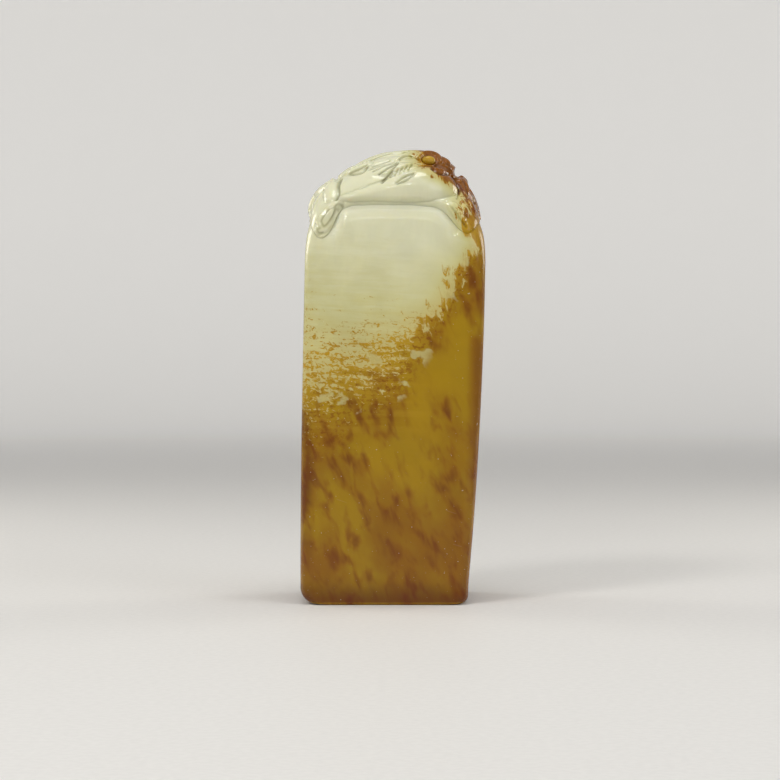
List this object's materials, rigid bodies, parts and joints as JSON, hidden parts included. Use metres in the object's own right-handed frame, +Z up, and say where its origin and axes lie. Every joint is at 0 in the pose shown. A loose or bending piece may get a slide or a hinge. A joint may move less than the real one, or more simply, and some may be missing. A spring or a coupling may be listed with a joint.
{
  "type": "seal stamp",
  "caption": "Tall squared jade hand seal with a sunk printing face at its foot and a crouching chi-dragon carved in low relief on its domed top.",
  "frame": {"origin": "middle of the foot of the stone, on the surface that it stands or prints on", "axes": "+Z up along the shaft, +X to the right seen from the front, where the animal's head looks, -Y towards the front"},
  "size_m": [0.0329, 0.024, 0.0801],
  "materials": {
    "jade_white": "polished pale greenish-white nephrite, waxy gloss",
    "jade_skin": "polished honey-brown nephrite skin with russet mottles, fading to white towards the top",
    "jade_russet": "polished russet nephrite skin"
  },
  "bodies": {
    "root": {"shaft": "jade_skin", "seal_fret": "jade_skin", "crown": "jade_white", "torso": "jade_white", "head": "jade_russet", "muzzle": "jade_russet", "jaw": "jade_russet", "crest": "jade_white", "tail": "jade_white", "eye_front": "jade_russet", "eye_back": "jade_russet", "brow_front": "jade_russet", "brow_back": "jade_russet", "ear_front": "jade_white", "ear_back": "jade_white", "mane_locks_front": "jade_white", "mane_locks_back": "jade_white", "hind_leg_front": "jade_white", "hind_leg_back": "jade_white", "hind_paw_front": "jade_white", "hind_paw_back": "jade_white", "knee_front": "jade_white", "knee_back": "jade_white", "front_paw_front": "jade_russet", "front_paw_back": "jade_russet", "tail_tip_front": "jade_white", "tail_tip_back": "jade_white"}
  },
  "joints": []
}
